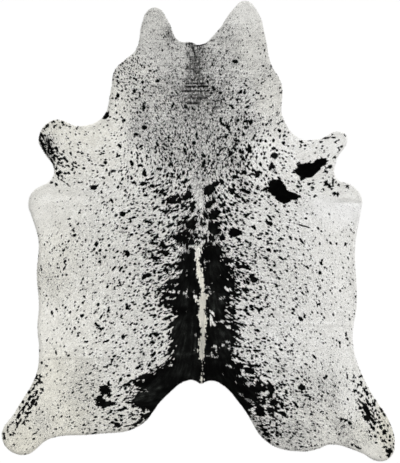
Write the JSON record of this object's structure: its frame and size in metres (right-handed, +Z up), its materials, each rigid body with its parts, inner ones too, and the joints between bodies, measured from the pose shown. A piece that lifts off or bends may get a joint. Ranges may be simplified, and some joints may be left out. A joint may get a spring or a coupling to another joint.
{
  "type": "cowhide rug",
  "caption": "Whole hair-on cowhide laid flat as a floor rug, off-white with a black-speckled coat and a dark back split by a white spine stripe.",
  "frame": {"origin": "on the floor under the middle of the hide's bounding box", "axes": "+X to the hide's right-hand side seen from above, +Y along the spine to the head, +Z up out of the hair"},
  "size_m": [1.9552, 2.294, 0.006],
  "materials": {
    "cowhide_coat": "short lying hair with a soft satin sheen on top, suede underneath"
  },
  "bodies": {
    "root": {"cowhide": "cowhide_coat"}
  },
  "joints": []
}
